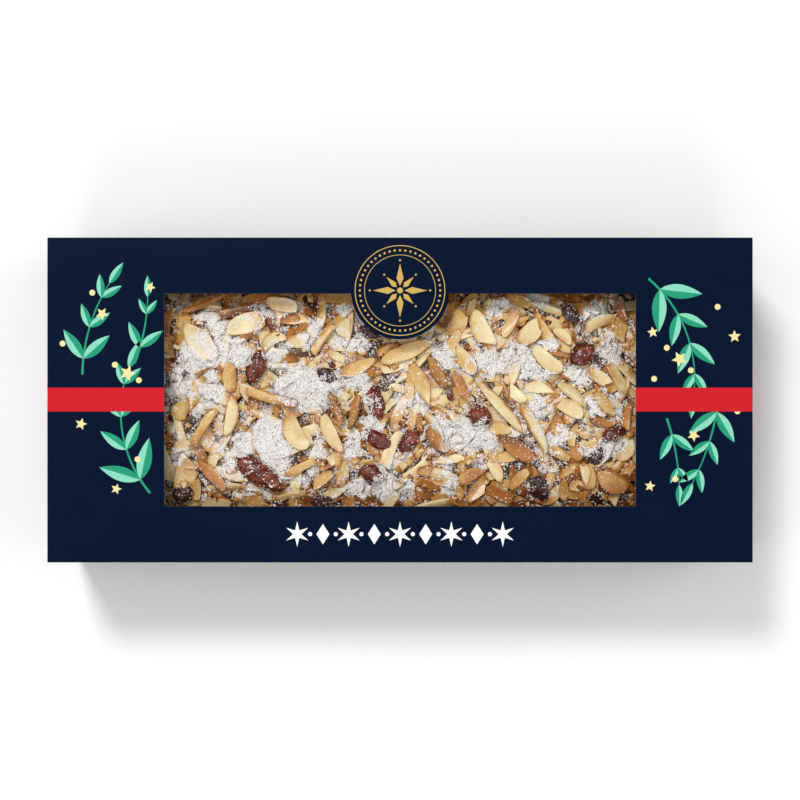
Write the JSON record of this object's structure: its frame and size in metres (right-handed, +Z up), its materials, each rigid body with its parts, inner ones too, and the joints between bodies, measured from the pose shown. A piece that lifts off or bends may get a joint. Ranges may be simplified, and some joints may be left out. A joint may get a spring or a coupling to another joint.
{
  "type": "boxed stollen loaf",
  "caption": "Stollen loaf under icing sugar, almonds, nuts and raisins, in a shut navy window carton with a red ribbon band.",
  "frame": {"origin": "middle of the carton's underside, on the surface it lies on", "axes": "+X along the carton, +Y across it towards the edge that the round tab hangs from, +Z up through the window"},
  "size_m": [0.25, 0.1154, 0.07],
  "materials": {
    "navy_board": "printed carton board, satin, with a red band and sprigs",
    "clear_film": "clear window film",
    "baked_crust": "browned crust of baked dough, dusted with sugar",
    "almond_topping": "sliced and slivered almonds under icing sugar",
    "almond_cream": "pale almond, sugar dusted",
    "almond_golden": "golden roast almond, sugar dusted",
    "almond_toasted": "dark roast almond, glazed",
    "nut_skin": "red-brown nut skin, glazed and sugar dusted",
    "raisin_skin": "dark wrinkled raisin, sugar dusted"
  },
  "bodies": {
    "root": {"almond_topping": "almond_topping", "carton": "navy_board", "flake_cream_01": "almond_cream", "flake_cream_02": "almond_cream", "flake_cream_03": "almond_cream", "flake_cream_04": "almond_cream", "flake_cream_05": "almond_cream", "flake_cream_06": "almond_cream", "flake_cream_07": "almond_cream", "flake_cream_08": "almond_cream", "flake_cream_09": "almond_cream", "flake_cream_10": "almond_cream", "flake_cream_11": "almond_cream", "flake_cream_12": "almond_cream", "flake_cream_13": "almond_cream", "flake_golden_01": "almond_golden", "flake_golden_02": "almond_golden", "flake_golden_03": "almond_golden", "flake_golden_04": "almond_golden", "flake_golden_05": "almond_golden", "flake_golden_06": "almond_golden", "flake_golden_07": "almond_golden", "flake_golden_08": "almond_golden", "flake_golden_09": "almond_golden", "flake_golden_10": "almond_golden", "flake_golden_11": "almond_golden", "flake_toasted_01": "almond_toasted", "flake_toasted_02": "almond_toasted", "flake_toasted_03": "almond_toasted", "flake_toasted_04": "almond_toasted", "flake_toasted_05": "almond_toasted", "flake_toasted_06": "almond_toasted", "flake_toasted_07": "almond_toasted", "loaf": "baked_crust", "nut_01": "nut_skin", "nut_02": "nut_skin", "nut_03": "nut_skin", "nut_04": "nut_skin", "nut_05": "nut_skin", "nut_06": "nut_skin", "nut_07": "nut_skin", "nut_08": "nut_skin", "nut_09": "nut_skin", "raisin_01": "raisin_skin", "raisin_02": "raisin_skin", "raisin_03": "raisin_skin", "raisin_04": "raisin_skin", "raisin_05": "raisin_skin", "raisin_06": "raisin_skin", "raisin_07": "raisin_skin", "sliver_cream_01": "almond_cream", "sliver_cream_02": "almond_cream", "sliver_cream_03": "almond_cream", "sliver_golden_01": "almond_golden", "sliver_golden_02": "almond_golden", "sliver_golden_03": "almond_golden", "sliver_golden_04": "almond_golden", "sliver_toasted_01": "almond_toasted", "sliver_toasted_02": "almond_toasted", "window_film": "clear_film"}
  },
  "joints": []
}
